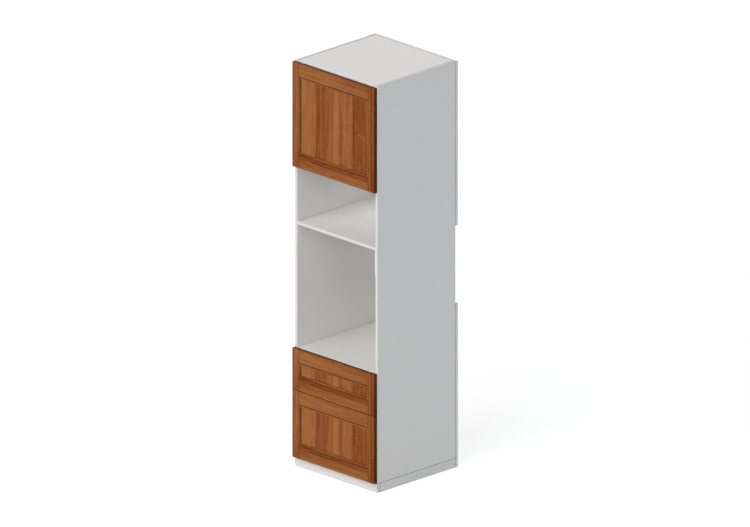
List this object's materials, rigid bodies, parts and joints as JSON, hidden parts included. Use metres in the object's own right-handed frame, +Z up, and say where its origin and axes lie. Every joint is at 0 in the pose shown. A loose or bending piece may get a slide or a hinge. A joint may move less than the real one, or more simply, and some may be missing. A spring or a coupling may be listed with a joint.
{
  "type": "tall oven housing unit",
  "caption": "Tall kitchen cabinet on a box plinth, with open oven and microwave niches, a cupboard behind a framed wooden door and drawers below.",
  "frame": {"origin": "on the floor, at the centre of the footprint", "axes": "+Z up, -Y to the front with the door and drawers, +X to the right seen from the front"},
  "size_m": [0.6, 0.6, 2.2],
  "materials": {
    "wood_stile": "satin lacquered red-brown wood, grain upright",
    "wood_rail": "satin lacquered red-brown wood, grain across",
    "wood_panel": "satin lacquered red-brown staves, grain upright",
    "white_board": "fine-textured white melamine-faced board",
    "beech": "raw planed beech",
    "nickel_plate": "nickel-plated pressed steel",
    "zinc_plate": "bright zinc-plated steel",
    "grey_plastic": "moulded grey acetal"
  },
  "bodies": {
    "carcass": {"side_panel_left": "white_board", "side_panel_right": "white_board", "top_panel": "white_board", "cupboard_floor": "white_board", "niche_shelf": "white_board", "oven_shelf": "white_board", "bottom_panel": "white_board", "back_panel_upper": "white_board", "back_panel_lower": "white_board", "adjustable_shelf": "white_board", "shelf_pins": "nickel_plate", "plinth_front": "white_board", "plinth_rear": "white_board", "plinth_side_left": "white_board", "plinth_side_right": "white_board", "plinth_corner_blocks": "beech", "dowels": "beech", "cam_bolts": "nickel_plate", "cam_locks": "nickel_plate", "carcass_screws": "zinc_plate", "wall_brackets": "zinc_plate", "hinge_plates": "nickel_plate", "hinge_arms": "nickel_plate", "latch_housings": "grey_plastic", "runner_cabinet_members": "zinc_plate"},
    "door": {"door_stile_left": "wood_stile", "door_stile_right": "wood_stile", "door_rail_top": "wood_rail", "door_rail_bottom": "wood_rail", "door_panel": "wood_panel", "hinge_cups": "nickel_plate"},
    "upper_drawer": {"upper_front_stile_left": "wood_stile", "upper_front_stile_right": "wood_stile", "upper_front_rail_top": "wood_rail", "upper_front_rail_bottom": "wood_rail", "upper_front_panel": "wood_panel", "upper_box_side_left": "white_board", "upper_box_side_right": "white_board", "upper_box_front": "white_board", "upper_box_back": "white_board", "upper_box_bottom": "white_board", "upper_front_screws": "zinc_plate", "upper_drawer_members": "zinc_plate"},
    "lower_drawer": {"lower_front_stile_left": "wood_stile", "lower_front_stile_right": "wood_stile", "lower_front_rail_top": "wood_rail", "lower_front_rail_bottom": "wood_rail", "lower_front_panel": "wood_panel", "lower_box_side_left": "white_board", "lower_box_side_right": "white_board", "lower_box_front": "white_board", "lower_box_back": "white_board", "lower_box_bottom": "white_board", "lower_front_screws": "zinc_plate", "lower_drawer_members": "zinc_plate"},
    "door_plunger": {"door_plunger": "grey_plastic"},
    "upper_plunger": {"upper_plunger": "grey_plastic"},
    "lower_plunger": {"lower_plunger": "grey_plastic"},
    "upper_runner_middle": {"upper_middle_members": "zinc_plate"},
    "lower_runner_middle": {"lower_middle_members": "zinc_plate"}
  },
  "joints": [
    {"name": "door_hinge", "type": "hinge", "parent": "carcass", "child": "door", "pos_m": [-0.2915, -0.289, 1.912], "axis": [0, 0, -1], "range_deg": [0, 105]},
    {"name": "upper_drawer_slide", "type": "slide", "parent": "carcass", "child": "upper_drawer", "axis": [0, -1, 0], "range_m": [0, 0.48]},
    {"name": "lower_drawer_slide", "type": "slide", "parent": "carcass", "child": "lower_drawer", "axis": [0, -1, 0], "range_m": [0, 0.48]},
    {"name": "upper_middle_slide", "type": "slide", "parent": "carcass", "child": "upper_runner_middle", "axis": [0, -1, 0], "range_m": [0, 0.24]},
    {"name": "lower_middle_slide", "type": "slide", "parent": "carcass", "child": "lower_runner_middle", "axis": [0, -1, 0], "range_m": [0, 0.24]},
    {"name": "door_plunger_slide", "type": "slide", "parent": "carcass", "child": "door_plunger", "axis": [0, -1, 0], "range_m": [0, 0.02]},
    {"name": "upper_plunger_slide", "type": "slide", "parent": "carcass", "child": "upper_plunger", "axis": [0, -1, 0], "range_m": [0, 0.02]},
    {"name": "lower_plunger_slide", "type": "slide", "parent": "carcass", "child": "lower_plunger", "axis": [0, -1, 0], "range_m": [0, 0.02]}
  ],
  "couplings": [
    {"joint": "upper_middle_slide", "follows": "upper_drawer_slide", "ratio": 0.5},
    {"joint": "lower_middle_slide", "follows": "lower_drawer_slide", "ratio": 0.5},
    {"joint": "door_plunger_slide", "follows": "door_hinge", "m_per_rad": 0.0109},
    {"joint": "upper_plunger_slide", "follows": "upper_drawer_slide", "ratio": 0.0416},
    {"joint": "lower_plunger_slide", "follows": "lower_drawer_slide", "ratio": 0.0416}
  ]
}
